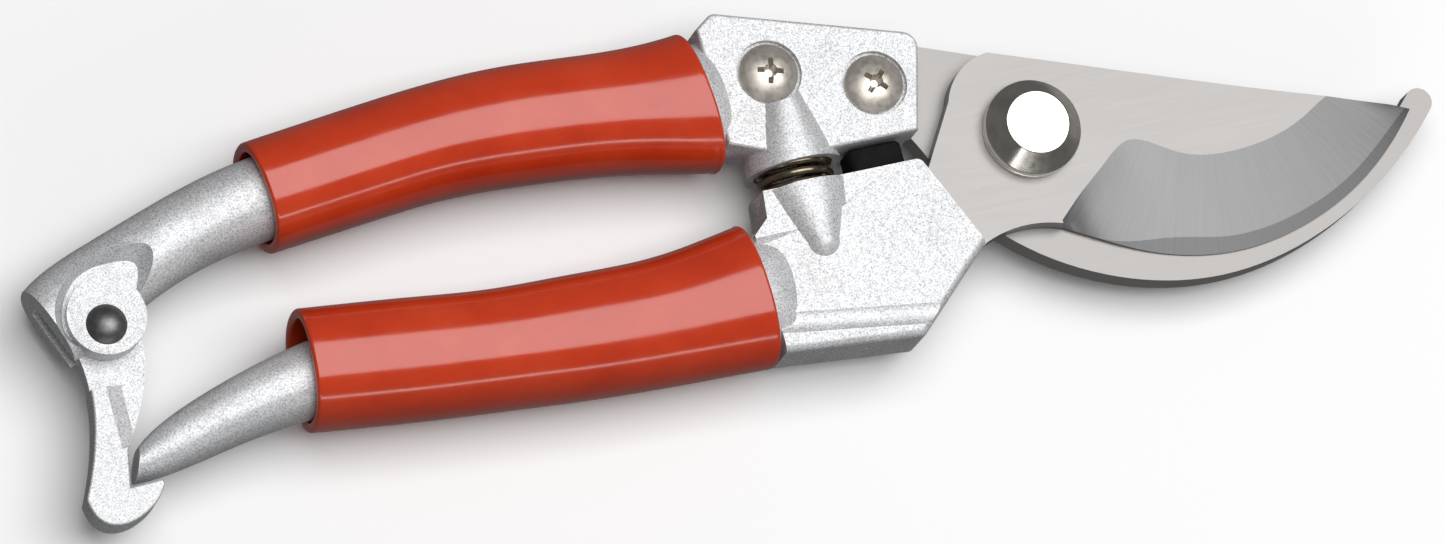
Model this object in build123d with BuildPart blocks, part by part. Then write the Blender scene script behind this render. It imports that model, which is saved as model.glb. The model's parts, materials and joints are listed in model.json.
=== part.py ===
from build123d import *
import os
from math import copysign, cos, pi, sin

# Bypass pruning shears lying on their back, closed and latched.
# +X runs along the tool towards the blade tip, +Y towards the upper handle and
# +Z out of the front face. The origin is on the pivot axis, in the plane of the
# nut's rear face, which is also the plane that both grips rest on.

os.makedirs("parts", exist_ok=True)

# ---- levels through the thickness -----------------------------------------
grip_half_height = 9.25
mid = grip_half_height              # plane where the two blades slide
counter_thickness = 4.0
cutting_thickness = 3.0
running_gap = 0.05                  # between faces that slide on each other
cutting_rear = mid + running_gap
cutting_front = cutting_rear + cutting_thickness
counter_rear = mid - counter_thickness
head_front = mid + 5.3              # flat front face of both castings

# ---- pivot ------------------------------------------------------------------
pivot_radius = 4.0
pivot_head_radius = 7.3
pivot_top_radius = 4.8
pivot_rim_height = 1.0
pivot_cone_height = 2.8
front_washer_thickness = 1.0
rear_washer_thickness = 0.8
rear_washer_radius = 8.0
nut_across_flats = 13.0
bush_wall = 1.0
thread_clearance = 0.05

# ---- castings ---------------------------------------------------------------
corner_round = 0.5                  # along the edges of the front faces
upper_nose_round = 2.4              # corners of the head outlines
upper_back_round = 1.4
lower_top_round = 1.2
lower_corner_round = 1.2
bottom_edge_round = 1.3             # along the bead under the groove
groove_radius = 3.6                 # hollow above the bead of the lower head
groove_depth = 0.35
pocket_clearance = 0.15             # round each tang in its casting
sweep_radius = 18.6                 # kept free for the turning counter blade
oval_power = 2.3                    # 2 is an ellipse, more is squarer
grip_wall = 1.5
grip_fit = 0.5                      # between a sleeve and its core, mid-length

# ---- spring -----------------------------------------------------------------
spring_x = -36.1
spring_wire = 1.25
spring_radius = 5.2                 # of the wire's centre line
spring_pitch = 1.36
spring_clearance = 0.2
socket_radius = spring_radius + spring_wire / 2 + spring_clearance
upper_socket_mouth = 2.2
lower_socket_mouth = -1.3
upper_socket_depth = 5.6
lower_socket_depth = 5.9
upper_boss_wall = 1.35
lower_boss_wall = 1.65
# Nose of each boss: y of its end, radius, and depth of its centre under the face.
upper_nose = (11.0, 3.2, 1.1)
lower_nose = (-10.2, 2.6, 0.9)

# ---- screws -----------------------------------------------------------------
screw_radius = 2.5
screw_head_radius = 4.4
screw_head_height = 2.3
screw_rim_height = 0.8
screw_pocket_gap = 0.55             # round the head in its pocket
screw_pocket_radius = screw_head_radius + screw_pocket_gap
screw_pocket_depth = 1.0
screw_hole_clearance = 0.2
screw_seat = head_front - screw_pocket_depth
# Centres and turns of the driver recess.
counter_screws = [(-37.1, 16.2, -15), (-21.9, 11.4, 45)]
tang_screw_radius = 2.0
tang_screw_head_radius = 3.6
tang_screw_head_height = 1.9
tang_screw_rim_height = 0.6
tang_screw_bite = 1.5               # thread held in the casting's front wall
cutting_screws = [(-21.4, -10.2, 20), (-36.0, -16.8, 70)]

# ---- latch ------------------------------------------------------------------
rivet_x = -142.6
rivet_y = -0.4
rivet_radius = 2.0
rivet_head_radius = 3.0
rivet_head_height = 1.4
latch_thickness = 3.0
latch_hook_thickness = 5.2
latch_edge_round = 0.3
latch_washer_thickness = 0.3
latch_side_gap = 0.1
latch_eye_radius = 4.9
ear_thickness = 3.4
ear_x = -142.2
ear_y = 0.9
ear_radius = 5.8
slot_half = latch_thickness / 2 + latch_side_gap
slot_rear = mid - slot_half - latch_washer_thickness
slot_front = mid + slot_half
ear_front = slot_front + ear_thickness
ear_rear = slot_rear - ear_thickness

# ---- stop cushion -----------------------------------------------------------
cushion_x = -23.9
cushion_length = 8.4
cushion_width = 6.4
cushion_squeeze_gap = 0.3           # left under the upper head when closed
stem_radius = 1.4
stem_depth = 1.5
cushion_fit = 0.05
lower_head_top = -1.1
upper_head_bottom = 3.2

# ---- outlines seen from the front, in millimetres ---------------------------
# Grip stations: x, y of the middle, turn of the section in degrees, half width.
upper_stations = [
    (-47.4, 15.1, 5, 10.6),
    (-53.5, 15.5, 2, 9.7),
    (-62.7, 16.4, 0, 8.9),
    (-75.0, 17.35, 0, 8.7),
    (-87.3, 17.4, 0, 8.35),
    (-100.0, 16.25, 4, 8.2),
    (-115.6, 14.5, 6, 8.1),
]
lower_stations = [
    (-47.0, -15.2, 2, 10.7),
    (-54.0, -15.65, 0, 10.0),
    (-63.0, -16.0, 0, 9.35),
    (-75.0, -15.6, 0, 9.1),
    (-87.0, -14.9, 0, 8.8),
    (-100.0, -13.6, -3, 8.9),
    (-115.6, -11.9, -4, 8.85),
]
# Bare ends of the two bars: x, y, turn, half width, drop below the grip's top.
upper_neck = [(-38.5, 14.6, 0, 6.5, 5.65), (-44.0, 15.0, 2, 9.0, 4.1)]
upper_bar = [
    (-99.0, 16.3, 4, 6.3, 2.05),
    (-110.0, 15.0, 8, 6.1, 2.15),
    (-120.0, 13.5, 13, 5.9, 2.35),
    (-129.0, 11.1, 17, 5.75, 2.95),
    (-137.0, 8.1, 21, 6.0, 3.45),
    (-144.5, 4.7, 21.7, 6.6, 3.65),
    (-150.0, 1.8, 21.7, 6.4, 3.95),
]
lower_neck = [(-38.5, -14.9, 0, 6.5, 5.65), (-44.0, -15.1, 0, 9.1, 2.95)]
lower_bar = [
    (-98.0, -13.8, -3, 6.7, 2.15),
    (-108.0, -13.2, 0, 6.0, 2.35),
    (-117.5, -13.9, 5, 5.2, 2.85),
    (-128.4, -16.2, 12, 4.4, 3.65),
    (-137.0, -18.7, 8, 3.6, 4.65),
    (-142.7, -20.4, -18, 2.5, 5.45),
]
upper_head_outline = [
    (-46.0, 24.9),
    (-46.0, 6.9),
    (-41.0, 4.9),
    (-40.2, upper_head_bottom),
    (-17.3, upper_head_bottom),
    (-13.2, 17.6),
    (-43.2, 26.8),
]
lower_head_outline = [
    (-46.0, -7.4),
    (-43.5, -5.2),
    (-43.0, lower_head_top),
    (-18.3, lower_head_top),
    (-12.0, -15.5),
    (-24.9, -27.2),
    (-35.0, -26.3),
    (-46.0, -25.3),
]
groove_start = (-50.0, -20.4)
groove_end = (-20.0, -24.7)
counter_tang = [
    (-17.9, 4.7),
    (-28.0, 4.7),
    (-29.0, 12.4),
    (-42.0, 12.4),
    (-42.4, 21.6),
    (-12.0, 16.8),
]
counter_rear_edge = [(-17.9, 4.7), (-15.3, -0.3), (-12.2, -7.6), (-7.3, -13.9)]
hook_back = [(-7.3, -13.9), (5.5, -22.6), (22.7, -26.7), (42.3, -22.9), (63.4, -8.4)]
hook_tip = [(63.4, -8.4), (63.2, -5.6), (60.6, -5.3)]
hook_inside = [(60.6, -5.3), (48.0, -14.6), (31.0, -19.0), (17.0, -16.2), (9.6, -8.4)]
hook_shoulder = [(9.6, -8.4), (10.4, 1.0), (5.2, 10.4)]
cutting_tang = [
    (-11.2, -15.1),
    (-24.6, -23.6),
    (-42.0, -22.0),
    (-42.0, -12.9),
    (-29.4, -12.9),
    (-28.4, -3.3),
    (-17.4, -3.3),
]
cutting_heel = [(-10.9, 6.9), (-8.2, 10.9), (-3.0, 13.1)]
cutting_spine = [(-3.0, 13.1), (16.2, 6.3), (38.1, -1.3), (59.9, -8.0)]
cutting_edge = [
    (59.9, -8.0),
    (53.9, -13.9),
    (47.1, -18.5),
    (40.1, -21.5),
    (27.2, -23.7),
    (15.5, -21.7),
    (8.4, -18.6),
    (6.0, -17.3),
    (3.8, -16.1),
    (1.6, -14.9),
]
# Upper limit of the ground bevel, one point for each point of the edge.
grind_limit = [
    (54.0, -6.2),
    (46.2, -4.2),
    (42.0, -6.5),
    (37.0, -8.4),
    (28.8, -9.4),
    (20.0, -7.4),
    (13.3, -4.0),
    (9.2, -6.6),
    (5.0, -10.2),
    (1.0, -14.2),
]
grind_land = 0.35                   # thickness left at the cutting edge
latch_left = [(-147.4, -1.5), (-146.7, -8.4), (-148.6, -17.8), (-151.3, -24.2)]
latch_lip = [(-151.3, -24.2), (-148.0, -28.8), (-143.0, -27.7), (-139.9, -24.6)]
latch_notch = [(-140.7, -23.7), (-144.7, -23.8), (-143.7, -18.6)]
latch_right = [(-143.7, -18.6), (-139.6, -11.3), (-137.6, -5.2), (-138.2, 1.6)]
latch_step_y = -8.7
latch_ridge_x = -144.5
scoop_floor = [
    (-148.4, 1.0),
    (-147.4, 4.6),
    (-144.0, 8.0),
    (-139.5, 8.8),
    (-136.0, 8.0),
    (-136.8, 4.0),
    (-139.5, 0.0),
    (-143.6, -3.6),
]
scoop_rim = [
    (-151.0, 0.4),
    (-149.8, 5.6),
    (-145.0, 9.9),
    (-139.0, 11.2),
    (-132.6, 10.2),
    (-133.0, 5.6),
    (-137.2, 0.4),
    (-143.6, -7.0),
]


def across(x, y, turn):
    """Plane square to the handle at a station, its own x axis lying across the tool."""
    out = (cos(turn * pi / 180), sin(turn * pi / 180), 0)
    return Plane(origin=(x, y, mid), x_dir=(-out[1], out[0], 0), z_dir=out)


def oval(x, y, turn, half_width, half_height):
    """Squared ellipse square to the handle at a station."""
    points = []
    for step in range(16):
        c = cos(step * pi / 8)
        s = sin(step * pi / 8)
        across_x = half_width * copysign(abs(c) ** (2 / oval_power), c)
        points.append((across_x, half_height * copysign(abs(s) ** (2 / oval_power), s)))
    with BuildSketch(across(x, y, turn)) as section:
        with BuildLine():
            Spline(*points, periodic=True)
        make_face()
    return section.sketch


def bar_sections(neck, stations, tail):
    """Sections of a cast bar: its neck, the core that fills the sleeve and its bare end."""
    inset = grip_wall + grip_fit
    core = [(x, y, turn, w - inset, inset) for x, y, turn, w in stations[:-2]]
    return [
        oval(x, y, turn, w, grip_half_height - drop) for x, y, turn, w, drop in neck + core + tail
    ]


def nose_sections(mouth_y, mouth_radius, nose):
    """Mouth and end circles of the ridge that a spring boss raises on the front face."""
    nose_y, nose_radius, nose_sink = nose
    with BuildSketch(Plane.XZ.offset(-mouth_y)) as mouth:
        with Locations((spring_x, mid)):
            Circle(mouth_radius)
    with BuildSketch(Plane.XZ.offset(-nose_y)) as end:
        with Locations((spring_x, head_front - nose_sink)):
            Circle(nose_radius)
    return [mouth.sketch, end.sketch]


def facet_plane(start, end, slope):
    """Plane through a line on the front face, falling away to the line's left."""
    run = Vector(end[0] - start[0], end[1] - start[1], 0)
    level = Plane(origin=(*start, head_front), x_dir=run, z_dir=(0, 0, 1))
    return level.rotated((slope, 0, 0))


def save(builder, name):
    """Label a finished piece and write it."""
    builder.part.label = name
    export_step(builder.part, f"parts/{name}.step")


# ---- upper handle: casting with head, bar and latch fork --------------------
face_rise = head_front - mid
with BuildPart() as upper_handle:
    with BuildSketch(Plane.XY.offset(counter_rear)) as upper_plate:
        Polygon(*upper_head_outline, align=None)
        fillet(upper_plate.vertices().group_by(Axis.X)[-1], upper_nose_round)
        fillet(upper_plate.vertices().group_by(Axis.Y)[-1], upper_back_round)
    extrude(amount=head_front - counter_rear)
    fillet(upper_handle.faces().sort_by(Axis.Z)[-1].edges(), corner_round)
    # spring socket: a cone lying along Y, half sunk in the plate
    with BuildSketch(Plane.XY.offset(mid)):
        with BuildLine():
            mouth_radius = socket_radius + upper_boss_wall
            Polyline(
                (spring_x, upper_socket_mouth),
                (spring_x + mouth_radius, upper_socket_mouth),
                (spring_x + face_rise, 12.8),
                (spring_x, 14.0),
                close=True,
            )
        make_face()
    revolve(axis=Axis((spring_x, 0, mid), (0, 1, 0)))
    loft(nose_sections(upper_socket_mouth, mouth_radius, upper_nose))
    with Locations((spring_x, upper_nose[0], head_front - upper_nose[2])):
        Sphere(upper_nose[1])
    loft(bar_sections(upper_neck, upper_stations, upper_bar))
    # ears of the latch fork, then the scoop that is carved round each of them
    for level, depth in ((ear_front, 1), (ear_rear, -1)):
        with BuildSketch(Plane.XY.offset(level - 1.9 * depth)):
            with BuildLine():
                Spline(*scoop_floor, periodic=True)
            make_face()
        with BuildSketch(Plane.XY.offset(level + 2.6 * depth)):
            with BuildLine():
                Spline(*scoop_rim, periodic=True)
            make_face()
        loft(mode=Mode.SUBTRACT)
    with BuildSketch(Plane.XY.offset(ear_rear)):
        with Locations((ear_x, ear_y)):
            Circle(ear_radius)
    extrude(amount=ear_front - ear_rear)
    # slot for the latch, open below and through the end of the bar
    with BuildSketch(Plane.XY.offset(slot_rear)):
        with Locations((rivet_x, rivet_y)):
            Circle(latch_eye_radius + 1.6)
            Rectangle(20, latch_eye_radius + 0.5, align=(Align.MAX, Align.MIN))
            Rectangle(20, 20, align=(Align.MAX, Align.MAX))
            Rectangle(latch_eye_radius + 1.6, 20, align=(Align.MIN, Align.MAX))
    extrude(amount=slot_front - slot_rear, mode=Mode.SUBTRACT)
    with Locations((rivet_x, rivet_y, mid)):
        Hole(rivet_radius + running_gap, depth=2 * grip_half_height)
    # spring bore, tang pocket and the two counterbored screw holes
    with BuildSketch(Plane.XZ.offset(-upper_socket_mouth + 2)):
        with Locations((spring_x, mid)):
            Circle(socket_radius)
    extrude(amount=-upper_socket_depth - 2, mode=Mode.SUBTRACT)
    with BuildSketch(Plane.XY.offset(counter_rear)):
        Polygon(*counter_tang, (0, 16.8), (0, 0), (-17.9, 0), align=None)
        offset(amount=pocket_clearance, kind=Kind.INTERSECTION)
    extrude(amount=counter_thickness, mode=Mode.SUBTRACT)
    for screw_x, screw_y, _ in counter_screws:
        with Locations((screw_x, screw_y, head_front)):
            CounterBoreHole(
                screw_radius + screw_hole_clearance,
                screw_pocket_radius,
                screw_pocket_depth,
                depth=head_front - counter_rear,
            )
    # each pocket also cuts through the ridge that runs into it
    with BuildSketch(Plane.XY.offset(screw_seat)):
        with Locations(*[(x, y) for x, y, _ in counter_screws]):
            Circle(screw_pocket_radius)
    extrude(amount=grip_half_height, mode=Mode.SUBTRACT)
save(upper_handle, "upper_handle")

# ---- lower handle: casting with head and bare tip ---------------------------
with BuildPart() as lower_handle:
    with BuildSketch(Plane.XY.offset(counter_rear)) as lower_plate:
        Polygon(*lower_head_outline, align=None)
        fillet(lower_plate.vertices().sort_by(Axis.Y)[-1:], lower_top_round)
        fillet(lower_plate.vertices().group_by(Axis.Y)[0], lower_corner_round)
    extrude(amount=head_front - counter_rear)
    front_edges = lower_handle.faces().sort_by(Axis.Z)[-1].edges()
    bottom_edges = front_edges.filter_by_position(Axis.Y, -28, -25)
    fillet(bottom_edges, bottom_edge_round)
    # shallow groove that leaves a bead along the bottom of the front face
    groove_run = Vector(*groove_end, 0) - Vector(*groove_start, 0)
    groove_level = head_front - groove_depth + groove_radius
    with BuildSketch(Plane(origin=(*groove_start, groove_level), z_dir=groove_run)):
        Circle(groove_radius)
    extrude(amount=groove_run.length, mode=Mode.SUBTRACT)
    # facet beside the socket, and the bevel that runs under the grip
    for start, end, slope in (
        ((-21.5, -0.9), (-31.5, -5.6), 9),
        ((-38.0, -7.8), (-49.0, -9.2), 33),
    ):
        with BuildSketch(facet_plane(start, end, slope)):
            Rectangle(30, 12, align=(Align.CENTER, Align.MAX))
        extrude(amount=5, mode=Mode.SUBTRACT)
    with BuildSketch(Plane.XY.offset(mid)):
        with BuildLine():
            mouth_radius = socket_radius + lower_boss_wall
            Polyline(
                (spring_x, lower_socket_mouth),
                (spring_x + mouth_radius, lower_socket_mouth),
                (spring_x + face_rise, -12.4),
                (spring_x, -13.6),
                close=True,
            )
        make_face()
    revolve(axis=Axis((spring_x, 0, mid), (0, 1, 0)))
    loft(nose_sections(lower_socket_mouth, mouth_radius, lower_nose))
    with Locations((spring_x, lower_nose[0], head_front - lower_nose[2])):
        Sphere(lower_nose[1])
    loft(bar_sections(lower_neck, lower_stations, lower_bar))
    with BuildSketch(Plane.XZ.offset(-lower_socket_mouth - 2)):
        with Locations((spring_x, mid)):
            Circle(socket_radius)
    extrude(amount=lower_socket_depth + 2, mode=Mode.SUBTRACT)
    # rear pocket for the tang, the counter blade's path and the screw threads
    with BuildSketch(Plane.XY.offset(counter_rear - 2)):
        Polygon(*cutting_tang, (0, -3.3), (0, -15.1), align=None)
        offset(amount=pocket_clearance, kind=Kind.INTERSECTION)
    extrude(amount=cutting_front - counter_rear + 2, mode=Mode.SUBTRACT)
    with BuildSketch(Plane.XY.offset(counter_rear - 2)):
        Circle(sweep_radius)
    extrude(amount=cutting_rear - counter_rear + 2, mode=Mode.SUBTRACT)
    with BuildSketch(Plane.XY.offset(cutting_front)):
        with Locations(*[(x, y) for x, y, _ in cutting_screws]):
            Circle(tang_screw_radius + thread_clearance)
    extrude(amount=tang_screw_bite + 0.1, mode=Mode.SUBTRACT)
    with BuildSketch(Plane.XZ.offset(-lower_head_top)):
        with Locations((cushion_x, mid)):
            Circle(stem_radius + cushion_fit)
    extrude(amount=stem_depth + 0.1, mode=Mode.SUBTRACT)
save(lower_handle, "lower_handle")

# ---- grips: dipped sleeves, open at both ends --------------------------------
for name, stations in (("upper_grip", upper_stations), ("lower_grip", lower_stations)):
    with BuildPart() as grip:
        outside = [oval(x, y, turn, w, grip_half_height) for x, y, turn, w in stations]
        bore_half_height = grip_half_height - grip_wall
        inside = [oval(x, y, turn, w - grip_wall, bore_half_height) for x, y, turn, w in stations]
        loft(outside)
        loft(inside, mode=Mode.SUBTRACT)
    save(grip, name)

# ---- blades -------------------------------------------------------------------
with BuildPart() as counter_blade:
    with BuildSketch(Plane.XY.offset(counter_rear)):
        with BuildLine():
            Spline(*counter_rear_edge)
            Spline(*hook_back)
            ThreePointArc(*hook_tip)
            Spline(*hook_inside)
            ThreePointArc(*hook_shoulder)
            Polyline(hook_shoulder[-1], *counter_tang[::-1])
        make_face()
    extrude(amount=counter_thickness)
    with Locations((0, 0, mid)):
        Hole(pivot_radius + thread_clearance)
    for screw_x, screw_y, _ in counter_screws:
        with Locations((screw_x, screw_y, mid)):
            Hole(screw_radius + thread_clearance)
save(counter_blade, "counter_blade")


def bevel_line(rise):
    """Points of the bevel at a share of its height, the edge at 0 and its limit at 1."""
    pairs = zip(cutting_edge, grind_limit)
    return [(ex + (gx - ex) * rise, ey + (gy - ey) * rise) for (ex, ey), (gx, gy) in pairs]


with BuildPart() as cutting_blade:
    with BuildSketch(Plane.XY.offset(cutting_rear)):
        with BuildLine():
            Line(cutting_tang[-1], cutting_heel[0])
            ThreePointArc(*cutting_heel)
            Spline(*cutting_spine)
            Spline(*cutting_edge)
            ThreePointArc(cutting_edge[-1], (-4.6, -13.8), cutting_tang[0])
            Polyline(*cutting_tang)
        make_face()
    extrude(amount=cutting_thickness)
    # flat-ground bevel, cut by a wedge that lies outside the blade
    bevel_height = cutting_thickness - grind_land
    for rise in (-0.12, 1.12):
        line = bevel_line(rise)
        with BuildSketch(Plane.XY.offset(cutting_rear + grind_land + bevel_height * rise)):
            with BuildLine():
                Spline(*line)
                Polyline(line[-1], (line[-1][0], -34), (72, -34), (72, line[0][1]), line[0])
            make_face()
    loft(ruled=True, mode=Mode.SUBTRACT)
    with Locations((0, 0, cutting_front)):
        Hole(pivot_radius + bush_wall)
    for screw_x, screw_y, _ in cutting_screws:
        with Locations((screw_x, screw_y, cutting_front)):
            Hole(tang_screw_radius + screw_hole_clearance)
save(cutting_blade, "cutting_blade")

# ---- pivot ----------------------------------------------------------------------
washer_rear = cutting_front + running_gap
washer_front = washer_rear + front_washer_thickness
nut_front = counter_rear - rear_washer_thickness
with BuildPart() as pivot_bolt:
    with BuildSketch(Plane.XZ):
        with BuildLine():
            Polyline(
                (0, 0),
                (pivot_radius, 0),
                (pivot_radius, washer_front),
                (pivot_head_radius, washer_front),
                (pivot_head_radius, washer_front + pivot_rim_height),
                (pivot_top_radius, washer_front + pivot_rim_height + pivot_cone_height),
                (0, washer_front + pivot_rim_height + pivot_cone_height),
                close=True,
            )
        make_face()
    revolve(axis=Axis.Z)
    rim_edges = pivot_bolt.edges().filter_by(GeomType.CIRCLE).group_by(Axis.Z)
    fillet(rim_edges[-1] + rim_edges[-2], 0.35)
    chamfer(rim_edges[0], 0.4)
save(pivot_bolt, "pivot_bolt")

with BuildPart() as pivot_bush:
    with BuildSketch(Plane.XY.offset(cutting_rear)):
        Circle(pivot_radius + bush_wall)
        Circle(pivot_radius + running_gap, mode=Mode.SUBTRACT)
    extrude(amount=cutting_thickness)
save(pivot_bush, "pivot_bush")

for name, level, radius, thickness in (
    ("pivot_front_washer", washer_rear, pivot_head_radius, front_washer_thickness),
    ("pivot_rear_washer", nut_front, rear_washer_radius, rear_washer_thickness),
):
    with BuildPart() as washer:
        with BuildSketch(Plane.XY.offset(level)):
            Circle(radius)
            Circle(pivot_radius + thread_clearance, mode=Mode.SUBTRACT)
        extrude(amount=thickness)
        outer_edges = washer.edges().filter_by(GeomType.CIRCLE).sort_by(SortBy.LENGTH)[-2:]
        chamfer(outer_edges, 0.15)
    save(washer, name)

with BuildPart() as pivot_nut:
    with BuildSketch(Plane.XY):
        RegularPolygon(nut_across_flats / 2, 6, major_radius=False)
        Circle(pivot_radius + thread_clearance, mode=Mode.SUBTRACT)
    extrude(amount=nut_front)
    with BuildSketch(Plane.XZ):
        with BuildLine():
            bevel_start = nut_across_flats / 2
            Polyline(
                (bevel_start, nut_front),
                (bevel_start + 2, nut_front),
                (bevel_start + 2, nut_front - 1.2),
                close=True,
            )
        make_face()
    revolve(axis=Axis.Z, mode=Mode.SUBTRACT)
save(pivot_nut, "pivot_nut")


# ---- screws -----------------------------------------------------------------------
def screw_section(shank, head, rim_height, head_height, length):
    """Half section of a pan-head screw, its head seated on z = 0."""
    with BuildSketch(Plane.XZ) as section:
        with BuildLine():
            Polyline(
                (0, head_height),
                (0, -length),
                (shank - 0.4, -length),
                (shank, 0.4 - length),
                (shank, 0),
                (head, 0),
                (head, rim_height),
            )
            TangentArc((0, head_height), (head, rim_height), tangent=(1, 0))
        make_face()
    return section.sketch


def cross_recess(head, head_height, turn):
    """Cross-shaped mouth of the driver recess, just above the head."""
    with BuildSketch(Plane.XY.offset(head_height + 0.1).rotated((0, 0, turn))) as mouth:
        Rectangle(0.94 * head, 0.21 * head)
        Rectangle(0.21 * head, 0.94 * head)
        Circle(0.24 * head)
    return mouth.sketch


for number, (screw_x, screw_y, turn) in enumerate(counter_screws, 1):
    shank_length = screw_seat - counter_rear - 0.3
    with BuildPart() as screw:
        revolve(
            screw_section(
                screw_radius, screw_head_radius, screw_rim_height, screw_head_height, shank_length
            ),
            axis=Axis.Z,
        )
        recess = cross_recess(screw_head_radius, screw_head_height, turn)
        extrude(recess, amount=-1.8, taper=14, mode=Mode.SUBTRACT)
    screw.part.position = (screw_x, screw_y, screw_seat)
    save(screw, f"counter_blade_screw_{number}")

for number, (screw_x, screw_y, turn) in enumerate(cutting_screws, 1):
    shank_length = cutting_thickness + tang_screw_bite
    with BuildPart() as tang_screw:
        revolve(
            screw_section(
                tang_screw_radius,
                tang_screw_head_radius,
                tang_screw_rim_height,
                tang_screw_head_height,
                shank_length,
            ),
            axis=Axis.Z,
        )
        recess = cross_recess(tang_screw_head_radius, tang_screw_head_height, turn)
        extrude(recess, amount=-1.4, taper=14, mode=Mode.SUBTRACT)
    tang_screw.part.orientation = (180, 0, 0)
    tang_screw.part.position = (screw_x, screw_y, cutting_rear)
    save(tang_screw, f"cutting_blade_screw_{number}")

# ---- latch --------------------------------------------------------------------------
with BuildPart() as latch:
    with BuildSketch(Plane.XY.offset(mid - latch_thickness / 2)):
        with BuildLine():
            Spline(*latch_left)
            Spline(*latch_lip)
            ThreePointArc(latch_lip[-1], (-139.8, -23.9), latch_notch[0])
            Polyline(*latch_notch)
            Spline(*latch_right)
            Line(latch_right[-1], latch_left[0])
        make_face()
        with Locations((rivet_x, rivet_y)):
            Circle(latch_eye_radius)
    extrude(amount=latch_thickness)
    with BuildSketch(Plane.XY.offset(mid - latch_hook_thickness / 2)):
        with BuildLine():
            Spline(*latch_left)
            Spline(*latch_lip)
            ThreePointArc(latch_lip[-1], (-139.8, -23.9), latch_notch[0])
            Polyline(*latch_notch)
            Polyline(latch_notch[-1], (-141.9, -15.5), (-142.2, 1.6), latch_left[0])
        make_face()
        with Locations((rivet_x, latch_step_y)):
            Rectangle(20, 30, align=(Align.CENTER, Align.MIN), mode=Mode.SUBTRACT)
    extrude(amount=latch_hook_thickness)
    # the hook's inner side slopes down to the web, on both faces
    for side in (1, -1):
        face = mid + side * latch_hook_thickness / 2
        web = mid + side * latch_thickness / 2
        with BuildSketch(Plane.XZ.offset(-latch_step_y - 0.1)):
            Polygon(
                (latch_ridge_x, face),
                (latch_ridge_x, face + side),
                (-138, face + side),
                (-138, web),
                (-142.1, web),
                align=None,
            )
        extrude(amount=9.2, mode=Mode.SUBTRACT)
    hook_faces = latch.faces().sort_by(Axis.Z)
    hook_edges = (hook_faces[0].edges() + hook_faces[-1].edges()).filter_by_position(Axis.Y, -30, -12)
    fillet(hook_edges, latch_edge_round)
    with Locations((rivet_x, rivet_y, mid)):
        Hole(rivet_radius + running_gap)
save(latch, "latch")

with BuildPart() as latch_washer:
    with BuildSketch(Plane.XY.offset(slot_rear)):
        with Locations((rivet_x, rivet_y)):
            Circle(latch_eye_radius - 0.6)
            Circle(rivet_radius + running_gap, mode=Mode.SUBTRACT)
    extrude(amount=latch_washer_thickness)
save(latch_washer, "latch_washer")

with BuildPart() as latch_rivet:
    with BuildSketch(Plane.XZ):
        with BuildLine():
            Polyline((0, ear_rear - rivet_head_height), (0, ear_front + rivet_head_height))
            dome_top = (0, ear_front + rivet_head_height)
            TangentArc(dome_top, (rivet_head_radius, ear_front), tangent=(1, 0))
            Polyline(
                (rivet_head_radius, ear_front),
                (rivet_radius, ear_front),
                (rivet_radius, ear_rear),
                (rivet_head_radius, ear_rear),
            )
            dome_bottom = (0, ear_rear - rivet_head_height)
            TangentArc(dome_bottom, (rivet_head_radius, ear_rear), tangent=(1, 0))
        make_face()
    revolve(axis=Axis.Z)
latch_rivet.part.position = (rivet_x, rivet_y, 0)
save(latch_rivet, "latch_rivet")

# ---- spring and stop cushion -----------------------------------------------------------
spring_seat_high = upper_socket_mouth + upper_socket_depth - spring_wire / 2
spring_seat_low = lower_socket_mouth - lower_socket_depth + spring_wire / 2
with BuildPart() as main_spring:
    with BuildLine() as wire:
        Helix(
            spring_pitch,
            spring_seat_high - spring_seat_low,
            spring_radius,
            center=(spring_x, spring_seat_low, mid),
            direction=(0, 1, 0),
        )
    with BuildSketch(Plane(wire.line @ 0, z_dir=wire.line % 0)):
        Circle(spring_wire / 2)
    sweep()
save(main_spring, "main_spring")

with BuildPart() as stop_cushion:
    with BuildSketch(Plane.XZ.offset(-lower_head_top)):
        with Locations((cushion_x, mid)):
            RectangleRounded(cushion_length, cushion_width, 1.5)
    extrude(amount=lower_head_top - upper_head_bottom + cushion_squeeze_gap)
    fillet(stop_cushion.faces().sort_by(Axis.Y)[-1].edges(), 0.6)
    with BuildSketch(Plane.XZ.offset(-lower_head_top)):
        with Locations((cushion_x, mid)):
            Circle(stem_radius)
    extrude(amount=stem_depth)
save(stop_cushion, "stop_cushion")
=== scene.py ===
import json
import math

import bmesh
import bpy
import numpy as np
from mathutils import Matrix, Vector


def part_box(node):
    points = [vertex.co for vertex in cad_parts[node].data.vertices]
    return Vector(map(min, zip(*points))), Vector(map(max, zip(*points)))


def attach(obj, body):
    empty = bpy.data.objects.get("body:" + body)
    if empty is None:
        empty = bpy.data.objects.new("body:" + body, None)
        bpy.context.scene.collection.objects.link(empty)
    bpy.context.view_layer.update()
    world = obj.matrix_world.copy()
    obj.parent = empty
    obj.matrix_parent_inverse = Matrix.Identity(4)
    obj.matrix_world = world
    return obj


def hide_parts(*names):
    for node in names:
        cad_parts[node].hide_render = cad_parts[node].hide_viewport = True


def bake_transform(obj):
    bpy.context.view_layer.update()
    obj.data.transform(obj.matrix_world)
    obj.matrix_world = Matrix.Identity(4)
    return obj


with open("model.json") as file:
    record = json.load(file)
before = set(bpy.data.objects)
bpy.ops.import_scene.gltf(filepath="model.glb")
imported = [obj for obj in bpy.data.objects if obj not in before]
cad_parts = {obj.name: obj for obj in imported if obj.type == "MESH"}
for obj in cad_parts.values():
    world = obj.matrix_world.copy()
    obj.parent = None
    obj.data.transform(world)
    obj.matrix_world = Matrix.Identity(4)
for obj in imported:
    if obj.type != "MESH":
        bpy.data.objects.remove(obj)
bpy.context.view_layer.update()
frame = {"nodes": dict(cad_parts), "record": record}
MM = 0.001

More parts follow.
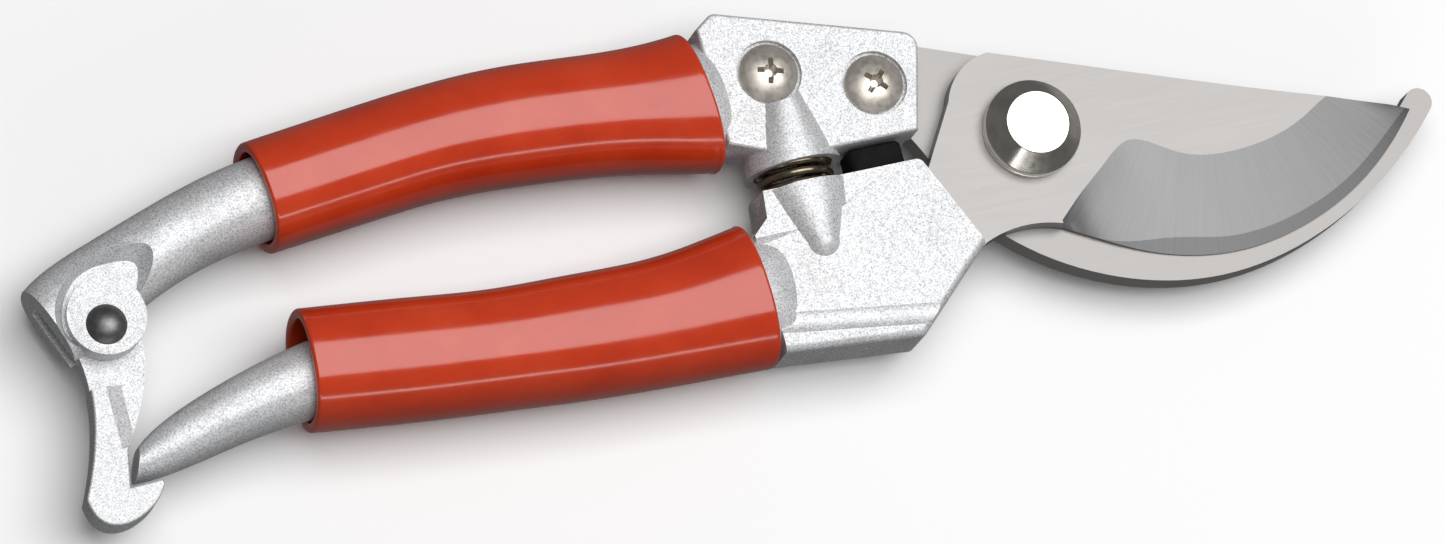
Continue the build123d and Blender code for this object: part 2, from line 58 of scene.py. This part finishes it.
# ---- sizes shared with the CAD model, in millimetres unless turned to metres ------
PIVOT_Z = frame["record"]["behaviour"]["joints"][0]["pos_m"][2]
GRIP_HALF_HEIGHT = 9.25
GRIP_WALL = 1.5
GRIP_LIP = 0.5
OVAL_POWER = 2.3
CUTTING_REAR = 9.3 * MM             # rear face of the cutting blade
HONED_SHADE_TOP = 0.72 * MM               # the painted-shade band of the honed edge ends this far above it
SPRING_WIRE = 1.25
# Sleeve stations: x, y of the middle, turn of the section in degrees, half width.
UPPER_STATIONS = [
    (-47.4, 15.1, 5, 10.6),
    (-53.5, 15.5, 2, 9.7),
    (-62.7, 16.4, 0, 8.9),
    (-75.0, 17.35, 0, 8.7),
    (-87.3, 17.4, 0, 8.35),
    (-100.0, 16.25, 4, 8.2),
    (-115.6, 14.5, 6, 8.1),
]
LOWER_STATIONS = [
    (-47.0, -15.2, 2, 10.7),
    (-54.0, -15.65, 0, 10.0),
    (-63.0, -16.0, 0, 9.35),
    (-75.0, -15.6, 0, 9.1),
    (-87.0, -14.9, 0, 8.8),
    (-100.0, -13.6, -3, 8.9),
    (-115.6, -11.9, -4, 8.85),
]

# ---- fineness of the pieces built here ---------------------------------------------
SLEEVE_POINTS = 72                  # round one ring
SLEEVE_RINGS = 90                   # along one sleeve
RIM_CLEAR = 2                       # rings left out at each end for the rim
RIM_STEPS = 4                       # round one edge of a rim
COILS = 10
END_COIL = 0.75                     # turns that lie flat at each end
COIL_POINTS = 40                    # along one turn
WIRE_POINTS = 14                    # round the wire

# ---- camera ------------------------------------------------------------------------
CAMERA_RIGHT = (0.9374, -0.2660, 0.2250)
CAMERA_BACK = (-0.2858, -0.2176, 0.9333)
CAMERA_TARGET = (-50.7, -10.5, 9.3)
CAMERA_DISTANCE = 1168
CAMERA_LENS = 199.3
CAMERA_SENSOR = 36

# ---- stage, in metres and watts ----------------------------------------------------
FLOOR_REACH = 3.0
FLOOR_LEVEL = -0.0002
FLOOR_WHITE = 0.95
WORLD_STRENGTH = 0.13

# ---- finishes ----------------------------------------------------------------------
NOISE_LOW, NOISE_HIGH = 0.3, 0.7    # part of a noise value that is spread over a range
PAINT_METALLIC = 0.4
STEEL_METALLIC = 0.45
BRUSH_STRETCH = (0.03, 1.0, 1)      # draws the grain of a plate out along X
BRUSH_SCALE = 2600
GROUND_CENTRE = (0.029, 0.0125)     # of the arc that the ground bevel follows
GROUND_RADIUS = 0.0365
GROUND_STRETCH = 0.035
GROUND_SCALE = 3000
FLAT_LIMIT = 0.9995                 # upright part of the normal of a flat face


def add_camera():
    """Long lens above the lower left of the tool, rolled so that the blade points up and right."""
    right = Vector(CAMERA_RIGHT).normalized()
    back = Vector(CAMERA_BACK).normalized()
    up = back.cross(right).normalized()
    right = up.cross(back)
    data = bpy.data.cameras.new("camera")
    data.sensor_width = CAMERA_SENSOR
    data.lens = CAMERA_LENS
    data.clip_start = 0.01
    data.clip_end = 20
    camera = bpy.data.objects.new("camera", data)
    axes = Matrix((right, up, back)).transposed().to_4x4()
    place = Vector(CAMERA_TARGET) * MM + back * (CAMERA_DISTANCE * MM)
    camera.matrix_world = Matrix.Translation(place) @ axes
    bpy.context.scene.collection.objects.link(camera)
    bpy.context.scene.camera = camera


def add_area(name, place, aim, width, height, power):
    """Soft rectangular white lamp that points at a spot."""
    data = bpy.data.lights.new(name, "AREA")
    data.shape = "RECTANGLE"
    data.size = width
    data.size_y = height
    data.energy = power
    lamp = bpy.data.objects.new(name, data)
    lamp.location = place
    lamp.rotation_mode = "QUATERNION"
    lamp.rotation_quaternion = (Vector(aim) - Vector(place)).to_track_quat("-Z", "Y")
    bpy.context.scene.collection.objects.link(lamp)


def new_material(name):
    """Node material with a Principled shader; returns it with its tree and shader."""
    material = bpy.data.materials.new(name)
    material.use_nodes = True
    tree = material.node_tree
    return material, tree, tree.nodes["Principled BSDF"]


def add_stage():
    """Pale floor, world light and the two lamps."""
    mesh = bpy.data.meshes.new("floor")
    corners = [(-1, -1), (1, -1), (1, 1), (-1, 1)]
    points = [(FLOOR_REACH * x, FLOOR_REACH * y, FLOOR_LEVEL) for x, y in corners]
    mesh.from_pydata(points, [], [(0, 1, 2, 3)])
    floor = bpy.data.objects.new("floor", mesh)
    bpy.context.scene.collection.objects.link(floor)
    material, _, shader = new_material("floor_paper")
    shader.inputs["Base Color"].default_value = (FLOOR_WHITE, FLOOR_WHITE, FLOOR_WHITE, 1)
    shader.inputs["Roughness"].default_value = 0.9
    shader.inputs["Specular IOR Level"].default_value = 0.1
    mesh.materials.append(material)
    # the paper is seen but throws no light back, as in a black-sided light box
    floor.visible_diffuse = False
    floor.visible_glossy = False
    world = bpy.data.worlds.new("studio")
    world.use_nodes = True
    background = world.node_tree.nodes["Background"]
    background.inputs["Color"].default_value = (1, 1, 1, 1)
    background.inputs["Strength"].default_value = WORLD_STRENGTH
    bpy.context.scene.world = world
    add_area("overhead", (0.2, 0.04, 1.0), (0.2, 0.04, 0), 1.2, 0.9, 12.0)
    add_area("front_strip", (-0.2, -0.95, 0.38), (-0.045, 0, 0.01), 1.2, 0.10, 1.5)
    bpy.context.scene.view_settings.view_transform = "Standard"
    bpy.context.scene.view_settings.look = "None"


# ---- material helpers --------------------------------------------------------------
def feed(tree, value, socket):
    """Link a socket's value, or set a plain one."""
    if hasattr(value, "is_output"):
        tree.links.new(value, socket)
    else:
        socket.default_value = value


def math_node(tree, operation, *values):
    """One Math node on one or two values."""
    node = tree.nodes.new("ShaderNodeMath")
    node.operation = operation
    for socket, value in zip(node.inputs, values):
        feed(tree, value, socket)
    return node.outputs[0]


def placed(tree, stretch=(1, 1, 1)):
    """Object-space position, stretched."""
    place = tree.nodes.new("ShaderNodeTexCoord")
    mapping = tree.nodes.new("ShaderNodeMapping")
    mapping.inputs["Scale"].default_value = stretch
    tree.links.new(place.outputs["Object"], mapping.inputs["Vector"])
    return mapping.outputs["Vector"]


def noise(tree, scale, detail=4.0, roughness=0.5, vector=None):
    """Noise whose scale counts features per metre."""
    texture = tree.nodes.new("ShaderNodeTexNoise")
    texture.inputs["Scale"].default_value = scale
    texture.inputs["Detail"].default_value = detail
    texture.inputs["Roughness"].default_value = roughness
    tree.links.new(vector or placed(tree), texture.inputs["Vector"])
    return texture.outputs["Fac"]


def ramp(tree, factor, *stops):
    """Colour ramp through (position, colour) stops."""
    node = tree.nodes.new("ShaderNodeValToRGB")
    elements = node.color_ramp.elements
    while len(elements) < len(stops):
        elements.new(0.5)
    for element, (position, colour) in zip(elements, stops):
        element.position = position
        element.color = (*colour, 1)
    tree.links.new(factor, node.inputs["Fac"])
    return node.outputs["Color"]


def ranged(tree, factor, low, high):
    """Spread the middle of a noise value over a range."""
    node = tree.nodes.new("ShaderNodeMapRange")
    node.inputs["From Min"].default_value = NOISE_LOW
    node.inputs["From Max"].default_value = NOISE_HIGH
    node.inputs["To Min"].default_value = low
    node.inputs["To Max"].default_value = high
    tree.links.new(factor, node.inputs["Value"])
    return node.outputs["Result"]


def blended(tree, factor, first, second, kind="RGBA", blend="MIX"):
    """Mix of two colours, or of two values when kind is FLOAT."""
    node = tree.nodes.new("ShaderNodeMix")
    node.data_type = kind
    if kind == "RGBA":
        node.blend_type = blend
    sort = "RGBA" if kind == "RGBA" else "VALUE"
    share = next(i for i in node.inputs if i.name == "Factor" and i.type == "VALUE")
    ends = [i for i in node.inputs if i.name in "AB" and i.type == sort]
    for socket, value in ((share, factor), (ends[0], first), (ends[1], second)):
        feed(tree, value, socket)
    return next(o for o in node.outputs if o.type == sort)


def bump(tree, shader, height, strength, distance):
    """Fine relief from a height value, distance in metres."""
    node = tree.nodes.new("ShaderNodeBump")
    node.inputs["Strength"].default_value = strength
    node.inputs["Distance"].default_value = distance
    tree.links.new(height, node.inputs["Height"])
    tree.links.new(node.outputs["Normal"], shader.inputs["Normal"])


# ---- materials -----------------------------------------------------------------------
def cast_paint():
    """Silver paint on cast aluminium: sandy grain, bright flakes, faint soiling."""
    material, tree, shader = new_material("cast_silver_paint")
    grain = noise(tree, 3800, 2.5, 0.75)
    flakes = ramp(tree, grain, (0.30, (0.30, 0.305, 0.32)), (0.47, (0.60, 0.605, 0.62)),
                  (0.60, (0.80, 0.805, 0.81)))
    soil = ramp(tree, noise(tree, 140, 5.0, 0.65), (0.34, (0.90, 0.895, 0.89)), (0.50, (1, 1, 1)))
    feed(tree, blended(tree, 1.0, flakes, soil, blend="MULTIPLY"), shader.inputs["Base Color"])
    shader.inputs["Metallic"].default_value = PAINT_METALLIC
    feed(tree, ranged(tree, noise(tree, 1100, 3.0), 0.42, 0.56), shader.inputs["Roughness"])
    bump(tree, shader, grain, 0.3, 0.0001)
    return material


def grip_vinyl():
    """Glossy orange-red dipped vinyl, a little cloudy, with faint handling marks."""
    material, tree, shader = new_material("grip_red_vinyl")
    cloud = noise(tree, 75, 5.0, 0.6)
    colour = ramp(tree, cloud, (0.32, (0.50, 0.034, 0.008)), (0.52, (0.56, 0.043, 0.010)),
                  (0.72, (0.60, 0.056, 0.017)))
    feed(tree, colour, shader.inputs["Base Color"])
    feed(tree, ranged(tree, noise(tree, 260, 4.0), 0.13, 0.20), shader.inputs["Roughness"])
    shader.inputs["Coat Weight"].default_value = 0.35
    shader.inputs["Coat Roughness"].default_value = 0.08
    bump(tree, shader, noise(tree, 110, 2.0), 0.10, 0.0004)
    return material


def grain_sum(tree, vector, scale, coarser, fine_share):
    """Fine and coarse noise added in shares that make one; coarser divides the scale."""
    fine = noise(tree, scale, 2.0, 0.6, vector)
    coarse = noise(tree, scale / coarser, 3.0, 0.6, vector)
    return math_node(tree, "ADD", math_node(tree, "MULTIPLY", fine, fine_share),
                     math_node(tree, "MULTIPLY", coarse, 1 - fine_share))


def brushed(tree):
    """Straight grinding lines along X."""
    return grain_sum(tree, placed(tree, BRUSH_STRETCH), BRUSH_SCALE, 6, 0.65)


def ground_lines(tree):
    """Grinding lines square to the curved edge, and the level of the surface."""
    place = tree.nodes.new("ShaderNodeTexCoord")
    split = tree.nodes.new("ShaderNodeSeparateXYZ")
    tree.links.new(place.outputs["Object"], split.inputs[0])
    x = math_node(tree, "SUBTRACT", split.outputs[0], GROUND_CENTRE[0])
    y = math_node(tree, "SUBTRACT", split.outputs[1], GROUND_CENTRE[1])
    turn = math_node(tree, "ARCTAN2", y, x)
    reach = math_node(tree, "SQRT", math_node(tree, "ADD", math_node(tree, "MULTIPLY", x, x),
                                              math_node(tree, "MULTIPLY", y, y)))
    polar = tree.nodes.new("ShaderNodeCombineXYZ")
    feed(tree, math_node(tree, "MULTIPLY", turn, GROUND_RADIUS), polar.inputs[0])
    feed(tree, math_node(tree, "MULTIPLY", reach, GROUND_STRETCH), polar.inputs[1])
    return grain_sum(tree, polar.outputs[0], GROUND_SCALE, 7, 0.6), split.outputs[2]


def flat_steel():
    """Brushed stainless plate."""
    material, tree, shader = new_material("blade_brushed_steel")
    lines = brushed(tree)
    colour = ramp(tree, lines, (0.35, (0.30, 0.287, 0.279)), (0.65, (0.345, 0.331, 0.322)))
    feed(tree, colour, shader.inputs["Base Color"])
    shader.inputs["Metallic"].default_value = STEEL_METALLIC
    feed(tree, ranged(tree, lines, 0.34, 0.46), shader.inputs["Roughness"])
    bump(tree, shader, lines, 0.05, 0.00004)
    return material


def bevelled_steel():
    """The cutting blade: brushed flats, a cross-ground bevel whose darker tone is partly painted
    shade, and a honed edge band darkened further with painted shade.
    """
    material, tree, shader = new_material("blade_ground_steel")
    lines = brushed(tree)
    flat = ramp(tree, lines, (0.35, (0.315, 0.302, 0.295)), (0.65, (0.355, 0.341, 0.333)))
    ground, level = ground_lines(tree)
    # bevel colour: the cross-ground grain is real, its darker tone than the flats is painted shade
    bevel_grain_and_shade = ramp(tree, ground, (0.36, (0.185, 0.185, 0.188)), (0.64, (0.245, 0.245, 0.247)))
    # painted shade: the honed edge facet is not modelled, so its dark band is painted on instead
    honed_band_shade = ramp(tree, ground, (0.36, (0.105, 0.105, 0.105)), (0.64, (0.14, 0.14, 0.14)))
    facing = tree.nodes.new("ShaderNodeNewGeometry")
    split = tree.nodes.new("ShaderNodeSeparateXYZ")
    tree.links.new(facing.outputs["True Normal"], split.inputs[0])
    upright = math_node(tree, "ABSOLUTE", split.outputs[2])
    # faces tilted off the flat plane take the bevel colour with its painted shade
    tilted = math_node(tree, "LESS_THAN", upright, FLAT_LIMIT)
    # mask of the painted-shade band along the edge, by height above the rear face
    low = math_node(tree, "LESS_THAN", level, CUTTING_REAR + HONED_SHADE_TOP)
    colour = blended(tree, tilted, flat, blended(tree, low, bevel_grain_and_shade, honed_band_shade))
    feed(tree, colour, shader.inputs["Base Color"])
    shader.inputs["Metallic"].default_value = STEEL_METALLIC
    height = blended(tree, tilted, lines, ground, kind="FLOAT")
    feed(tree, ranged(tree, height, 0.32, 0.46), shader.inputs["Roughness"])
    bump(tree, shader, height, 0.08, 0.00005)
    return material


def plain_metal(name, grain, low, high, metallic, rough_scale, rough):
    """Metal in two close shades; grain is (scale, detail, roughness), rough is two ends."""
    material, tree, shader = new_material(name)
    feed(tree, ramp(tree, noise(tree, *grain), low, high), shader.inputs["Base Color"])
    shader.inputs["Metallic"].default_value = metallic
    feed(tree, ranged(tree, noise(tree, *rough_scale), *rough), shader.inputs["Roughness"])
    return material


def polished_nickel():
    """Warm bright plating with faint turning marks."""
    return plain_metal("polished_nickel", (420, 4.0), (0.3, (0.62, 0.59, 0.54)),
                       (0.7, (0.76, 0.73, 0.68)), 1.0, (900, 2.0), (0.14, 0.22))


def screw_nickel():
    """Satin plating on the screw heads, browned in patches."""
    return plain_metal("screw_nickel", (600, 4.0, 0.6), (0.3, (0.50, 0.46, 0.40)),
                       (0.6, (0.66, 0.62, 0.56)), 0.75, (1200, 3.0), (0.30, 0.42))


def dark_metal(name, low, high, rough):
    """Dark satin metal in two close shades."""
    return plain_metal(name, (700, 4.0), (0.3, low), (0.7, high), 0.9, (1500, 2.0),
                       (rough, rough + 0.1))


def stop_pad_shade_black():
    """Matt near-black stop pad, its black painted shade for the dark gap between the heads."""
    material, tree, shader = new_material("black_rubber_matt")
    # painted shade: near black so that the pad stands in for the shade of the gap between the
    # heads
    colour = ramp(tree, noise(tree, 500), (0.3, (0.004, 0.004, 0.004)),
                  (0.7, (0.009, 0.009, 0.009)))
    feed(tree, colour, shader.inputs["Base Color"])
    shader.inputs["Roughness"].default_value = 0.8
    shader.inputs["Specular IOR Level"].default_value = 0.15
    return material


def dress(material, *nodes):
    """Give CAD nodes a material through their slots."""
    for name in nodes:
        for slot in frame["nodes"][name].material_slots:
            slot.material = material


# ---- pieces built here -----------------------------------------------------------------
def spline_through(values, count):
    """Natural cubic spline through evenly numbered values, read at count places."""
    values = np.asarray(values, float)
    n = len(values)
    system = np.eye(n)
    pull = np.zeros(values.shape)
    for i in range(1, n - 1):
        system[i, i - 1:i + 2] = (1, 4, 1)
        pull[i] = 6 * (values[i - 1] - 2 * values[i] + values[i + 1])
    bend = np.linalg.solve(system, pull)
    out = []
    for place in np.linspace(0, n - 1, count):
        i = min(int(place), n - 2)
        u = place - i
        v = 1 - u
        out.append(v * values[i] + u * values[i + 1]
                   + ((v ** 3 - v) * bend[i] + (u ** 3 - u) * bend[i + 1]) / 6)
    return out


def add_piece(name, rings, material, closed=False):
    """Smooth mesh through rings of equal length: a closed loop of them, or capped ends."""
    mesh = bpy.data.meshes.new(name)
    size = len(rings[0])
    points = [tuple(point) for ring in rings for point in ring]
    faces = []
    for i in range(len(rings) if closed else len(rings) - 1):
        j = (i + 1) % len(rings)
        for k in range(size):
            m = (k + 1) % size
            faces.append((i * size + k, j * size + k, j * size + m, i * size + m))
    if not closed:
        faces.append(tuple(range(size)))
        faces.append(tuple(reversed(range(len(points) - size, len(points)))))
    mesh.from_pydata(points, [], faces)
    shape = bmesh.new()
    shape.from_mesh(mesh)
    bmesh.ops.recalc_face_normals(shape, faces=shape.faces)
    for face in shape.faces:
        face.smooth = True
    shape.to_mesh(mesh)
    shape.free()
    mesh.materials.append(material)
    piece = bpy.data.objects.new(name, mesh)
    bpy.context.scene.collection.objects.link(piece)
    return piece


def sleeve_ring(station, inset, shift):
    """Squared-ellipse ring of a sleeve, inset from its outside and shifted along it."""
    x, y, turn, half_width = station
    cos_turn, sin_turn = math.cos(math.radians(turn)), math.sin(math.radians(turn))
    ring = []
    for step in range(SLEEVE_POINTS):
        angle = 2 * math.pi * step / SLEEVE_POINTS
        c, s = math.cos(angle), math.sin(angle)
        across = (half_width - inset) * math.copysign(abs(c) ** (2 / OVAL_POWER), c)
        rise = (GRIP_HALF_HEIGHT - inset) * math.copysign(abs(s) ** (2 / OVAL_POWER), s)
        ring.append(((x + shift * cos_turn - across * sin_turn) * MM,
                     (y + shift * sin_turn + across * cos_turn) * MM,
                     PIVOT_Z + rise * MM))
    return ring


def rim_rings(station, outward):
    """Rings round the lip of a sleeve, from its outside to its inside."""
    corner = [math.pi / 2 * i / RIM_STEPS for i in range(RIM_STEPS + 1)]
    outer = [(GRIP_LIP * (1 - math.cos(a)), GRIP_LIP * (math.sin(a) - 1)) for a in corner]
    inner = [
        (GRIP_WALL - GRIP_LIP * (1 - math.sin(a)), GRIP_LIP * (math.cos(a) - 1)) for a in corner
    ]
    return [sleeve_ring(station, inset, outward * shift) for inset, shift in outer + inner]


def add_sleeve(name, stations, material):
    """Dipped sleeve with rounded rims, open at both ends."""
    line = spline_through(stations, SLEEVE_RINGS)
    middle = line[RIM_CLEAR:-RIM_CLEAR]
    inside = [sleeve_ring(station, GRIP_WALL, 0) for station in middle]
    outside = [sleeve_ring(station, 0, 0) for station in middle]
    rings = rim_rings(line[-1], -1) + inside[::-1] + rim_rings(line[0], 1)[::-1] + outside
    return add_piece(name, rings, material, closed=True)


def add_spring(name, material):
    """Close-coiled compression spring with flattened end turns."""
    low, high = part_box("main_spring")
    wire = SPRING_WIRE / 2 * MM
    centre_x, centre_z = (low[0] + high[0]) / 2, (low[2] + high[2]) / 2
    radius = (high[2] - low[2]) / 2 - wire
    bottom, top = low[1] + wire, high[1] - wire
    steps = COILS * COIL_POINTS
    path = []
    for i in range(steps + 1):
        share = i / steps
        eased = min(max((share * COILS - END_COIL) / (COILS - 2 * END_COIL), 0), 1)
        angle = 2 * math.pi * COILS * share
        path.append(Vector((centre_x + radius * math.cos(angle), bottom + (top - bottom) * eased,
                            centre_z + radius * math.sin(angle))))
    rings = []
    for i, point in enumerate(path):
        run = (path[min(i + 1, steps)] - path[max(i - 1, 0)]).normalized()
        outward = Vector((point.x - centre_x, 0, point.z - centre_z)).normalized()
        side = run.cross(outward).normalized()
        rings.append([point + wire * (math.cos(a) * outward + math.sin(a) * side)
                      for a in (2 * math.pi * k / WIRE_POINTS for k in range(WIRE_POINTS))])
    spring = add_piece(name, rings, material)
    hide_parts("main_spring")
    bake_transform(spring)


add_camera()
add_stage()
dress(cast_paint(), "upper_handle", "lower_handle", "latch")
dress(flat_steel(), "counter_blade")
dress(bevelled_steel(), "cutting_blade")
dress(
    polished_nickel(),
    "pivot_bolt", "pivot_front_washer", "pivot_rear_washer", "pivot_nut", "latch_washer",
)
dress(
    screw_nickel(),
    "counter_blade_screw_1", "counter_blade_screw_2",
    "cutting_blade_screw_1", "cutting_blade_screw_2",
)
dress(dark_metal("bush_bronze", (0.30, 0.19, 0.09), (0.42, 0.28, 0.14), 0.35), "pivot_bush")
dress(dark_metal("rivet_dark_steel", (0.13, 0.13, 0.13), (0.19, 0.19, 0.19), 0.36), "latch_rivet")
# stop pad coloured near black as painted shade for the gap between the heads
dress(stop_pad_shade_black(), "stop_cushion")

vinyl = grip_vinyl()
for node, body, stations in (
    ("upper_grip", "upper_half", UPPER_STATIONS),
    ("lower_grip", "lower_half", LOWER_STATIONS),
):
    sleeve = add_sleeve(node + "_sleeve", stations, vinyl)
    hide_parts(node)
    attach(sleeve, body)
spring_steel = dark_metal("spring_dark_steel", (0.16, 0.13, 0.09), (0.30, 0.25, 0.17), 0.18)
add_spring("spring_coil", spring_steel)
